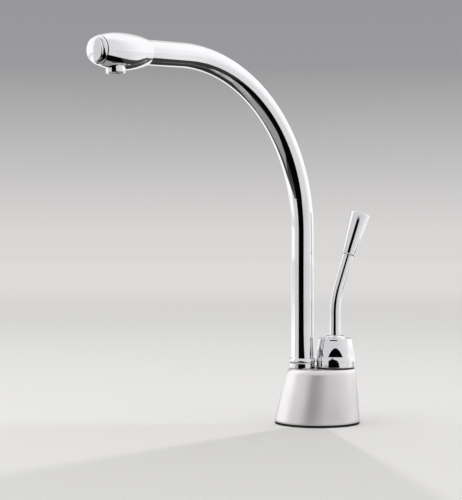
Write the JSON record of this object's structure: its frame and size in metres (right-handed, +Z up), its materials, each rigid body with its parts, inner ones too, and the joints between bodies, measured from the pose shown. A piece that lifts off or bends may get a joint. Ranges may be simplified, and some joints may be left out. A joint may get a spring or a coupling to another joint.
{
  "type": "instant hot water dispenser tap",
  "caption": "Deck-mounted instant hot water tap: swivelling gooseneck spout with an oval head, and a quarter-turn lever beside it on a tapered oval base.",
  "frame": {"origin": "on the counter's top face, on the axis of the threaded shank", "axes": "+Z up out of the counter; +Y from the spout's column towards the lever; +X to the side that the lever opens to"},
  "size_m": [0.1591, 0.1946, 0.33],
  "materials": {
    "chrome": "polished chrome plate on brass",
    "brass": "turned and cast brass, unplated",
    "copper": null,
    "steel": "stainless steel, stamped or turned",
    "rubber": "black EPDM rubber",
    "ceramic": null,
    "nylon": "natural nylon"
  },
  "bodies": {
    "base": {"base_shell": "chrome", "base_gasket": "rubber", "manifold": "brass", "hot_return_pipe": "copper", "cold_inlet_pipe": "copper", "tank_feed_pipe": "copper", "threaded_shank": "brass", "rubber_washer": "rubber", "steel_washer": "steel", "lock_nut": "brass", "spout_snap_ring": "steel", "spout_bushing": "nylon", "valve_body": "brass", "valve_seal": "rubber", "fixed_disc": "ceramic", "bonnet_nut": "brass", "hub_glide_washer": "nylon"},
    "spout": {"spout_tube": "chrome", "spout_collar": "chrome", "spout_spigot": "brass", "lower_spout_seal": "rubber", "upper_spout_seal": "rubber", "spout_head": "chrome", "nose_ring": "chrome", "nose_cap": "chrome", "nozzle_body": "chrome", "nozzle_strainer": "steel", "nozzle_seal": "rubber"},
    "lever": {"lever_hub": "chrome", "hub_set_screw": "steel", "lever_rod": "chrome", "lever_knob": "chrome", "knob_ring": "chrome", "valve_stem": "brass", "stem_seal": "rubber", "turning_disc": "ceramic"}
  },
  "joints": [
    {"name": "spout_swivel", "type": "hinge", "parent": "base", "child": "spout", "pos_m": [0, -0.0106, 0.045], "axis": [0, 0, 1], "continuous": true},
    {"name": "lever_turn", "type": "hinge", "parent": "base", "child": "lever", "pos_m": [0, 0.0129, 0.04], "axis": [0, 0, 1], "range_deg": [-90, 0]}
  ]
}
